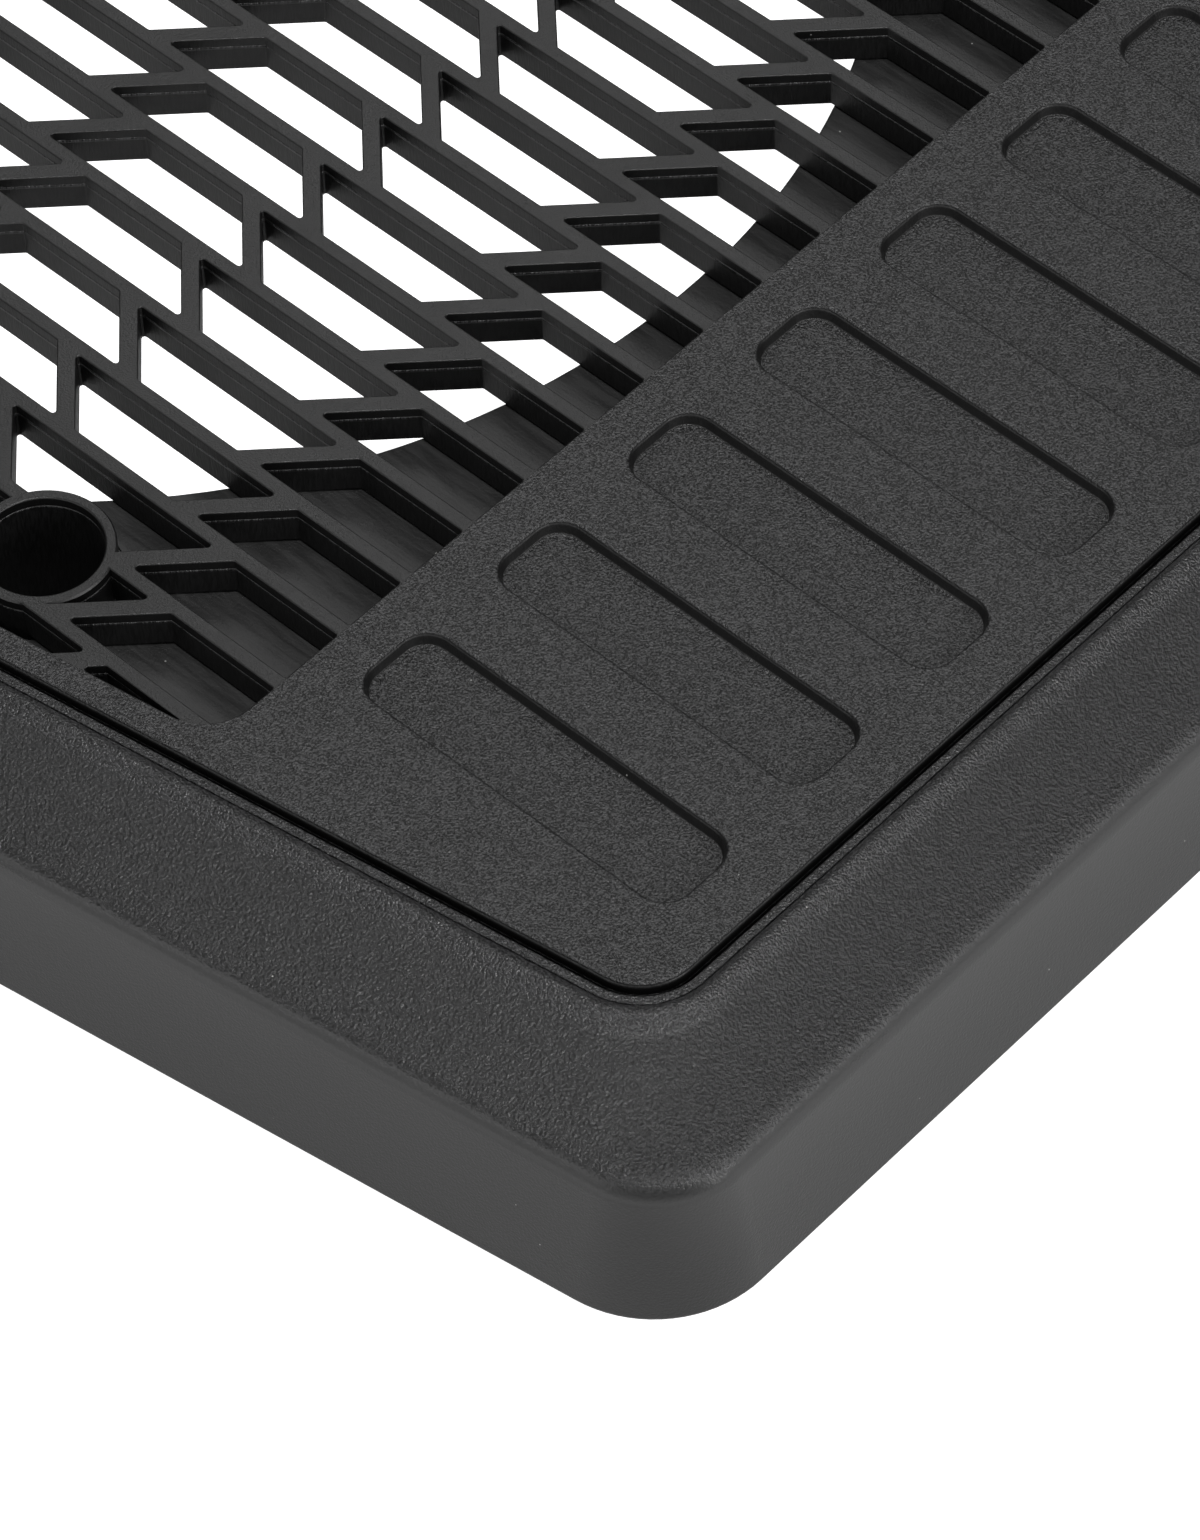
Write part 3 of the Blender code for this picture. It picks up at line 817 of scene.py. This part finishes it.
def floor_finish():
    """Plain white table that glows: pure white to the camera, while the glow that lights the mat is
    dimmed beside and under it, a painted shadow.
    """
    finish = Finish("white_floor", (0.8, 0.8, 0.8), 0.9, 0.1)
    past_end = finish.axis("X").size() - (GROOVE_HALF_LENGTH + END_RAIL)
    past_side = finish.axis("Y").size() - (GROOVE_HALF_WIDTH + SIDE_RAIL - 15 * MM)
    past = past_end.larger(past_side)
    # Painted shadow: the glow that lights the mat fades from dim under and beside the mat to bright
    # well clear of it
    clear_of_painted_shadow = past.rise(0.0, 65 * MM) * 0.41 + past.rise(50 * MM, 250 * MM) * 0.59
    glow_with_painted_shadow = finish.mixed(clear_of_painted_shadow, (0.02, 0.02, 0.02), (0.95, 0.95, 0.95))
    seen = finish.node("ShaderNodeLightPath").outputs["Is Camera Ray"]
    finish.set("Emission Color", finish.mixed(seen, glow_with_painted_shadow, (1.0, 1.0, 1.0)))
    finish.set("Emission Strength", 1.0)
    return finish.material


# ---------------------------------------------------------------- the mat

def place_surround():
    surround = make_surround()

    def choose(face):
        return 1 if face.normal.z > 0.95 and abs(face.center.z - LEDGE_HEIGHT) < 0.1 * MM else 0

    finish_surface(surround, [surround_plastic(), ledge_plastic()], choose)
    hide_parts("frame")
    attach(surround, "surround")


def place_grate():
    grate = finish_surface(make_grate(), [grate_plastic()])
    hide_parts("grate", "leg_1", "leg_2", "leg_3", "leg_4")
    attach(grate, "lift_out_grate")


def place_rubber():
    rubber = foot_rubber()
    plug_head = (LEG_RADIUS, LEG_BOTTOM - SEAT_GAP)
    plug_peg = (LEG_BORE_RADIUS - SEAT_GAP, LEG_BOTTOM + PLUG_PEG_LENGTH)
    foot_head = (FOOT_BOSS_RADIUS, FOOT_BOSS_BOTTOM - SEAT_GAP)
    foot_peg = (FOOT_SOCKET_RADIUS - SEAT_GAP,
                FOOT_BOSS_BOTTOM + FOOT_SOCKET_DEPTH - 2 * SEAT_GAP)
    kinds = [
        ("leg_plug", leg_places(), plug_head, plug_peg, TUBE_STEPS, "lift_out_grate"),
        ("foot", foot_places(), foot_head, foot_peg, FOOT_STEPS, "surround"),
    ]
    for node, places, head, peg, steps, body in kinds:
        for number, place in enumerate(places, 1):
            piece = make_rubber(f"rubber_{node}_{number}", place, head, peg, steps)
            finish_surface(piece, [rubber])
            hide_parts(f"{node}_{number}")
            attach(piece, body)


# ---------------------------------------------------------------- studio

def make_floor():
    mesh = bmesh.new()
    half = 6.0
    corners = [(-half, -half), (half, -half), (half, half), (-half, half)]
    mesh.faces.new([mesh.verts.new((x, y, -0.1 * MM)) for x, y in corners])
    floor = new_object("floor", mesh)
    floor.data.materials.append(floor_finish())


def make_light(name, place, aim, size, power):
    data = bpy.data.lights.new(name, "AREA")
    data.shape = "RECTANGLE"
    data.size, data.size_y = size
    data.energy = power
    lamp = bpy.data.objects.new(name, data)
    bpy.context.collection.objects.link(lamp)
    lamp.location = place
    lamp.rotation_euler = (Vector(aim) - Vector(place)).to_track_quat("-Z", "Y").to_euler()


def make_studio():
    """A dark ceiling, walls brighter on the near side, a small key light and four soft lights."""
    world = bpy.data.worlds.new("studio")
    bpy.context.scene.world = world
    world.use_nodes = True
    tree = world.node_tree
    sky = tree.nodes["Background"]
    place = tree.nodes.new("ShaderNodeTexCoord")
    height = tree.nodes.new("ShaderNodeSeparateXYZ")
    fade = tree.nodes.new("ShaderNodeMapRange")
    fade.interpolation_type = "SMOOTHSTEP"
    fade.inputs["From Min"].default_value = 0.1
    fade.inputs["From Max"].default_value = 0.9
    fade.inputs["To Max"].default_value = 0.12
    front = tree.nodes.new("ShaderNodeVectorMath")
    front.operation = "DOT_PRODUCT"
    front.inputs[1].default_value = (0.7, -0.7, 0.0)
    low = tree.nodes.new("ShaderNodeMapRange")
    low.interpolation_type = "SMOOTHSTEP"
    low.inputs["From Min"].default_value = -0.5
    low.inputs["From Max"].default_value = 0.5
    low.inputs["To Min"].default_value = 0.2
    low.inputs["To Max"].default_value = 1.15
    tree.links.new(place.outputs["Generated"], front.inputs[0])
    tree.links.new(front.outputs["Value"], low.inputs["Value"])
    tree.links.new(low.outputs["Result"], fade.inputs["To Min"])
    tree.links.new(place.outputs["Generated"], height.inputs["Vector"])
    tree.links.new(height.outputs["Z"], fade.inputs["Value"])
    tree.links.new(fade.outputs["Result"], sky.inputs["Strength"])
    sky.inputs["Color"].default_value = (1.0, 1.0, 1.0, 1.0)
    corner = (0.3, -0.17, 0.0)      # near corner of the mat
    middle = (0.2, -0.1, 0.0)
    make_light("key_softbox", (0.55, -0.22, 1.49), corner, (0.22, 0.22), 13.0)
    make_light("back_softbox", (-0.75, 0.95, 1.6), middle, (1.0, 0.6), 7.2)
    make_light("left_softbox", (-0.60, -0.17, 1.30), corner, (0.4, 0.4), 1.2)
    make_light("front_panel", (-0.10, -1.60, 0.85), corner, (0.8, 0.5), 3.0)
    make_light("right_panel", (1.75, 0.20, 0.85), corner, (0.6, 0.7), 12.0)
    bpy.context.scene.view_settings.view_transform = "Standard"


def make_camera():
    data = bpy.data.cameras.new("camera")
    data.lens = 154.8
    data.sensor_width = 36.0
    camera = bpy.data.objects.new("camera", data)
    bpy.context.collection.objects.link(camera)
    right = Vector((0.73526, 0.67745, -0.02113))
    up = Vector((-0.52335, 0.58726, 0.61744))
    back = right.cross(up)
    turn = Matrix((right, up, back)).transposed().to_4x4()
    camera.matrix_world = Matrix.Translation((0.7869, -0.6671, 1.0366)) @ turn
    bpy.context.scene.camera = camera


place_surround()
place_grate()
place_rubber()
make_floor()
make_studio()
make_camera()
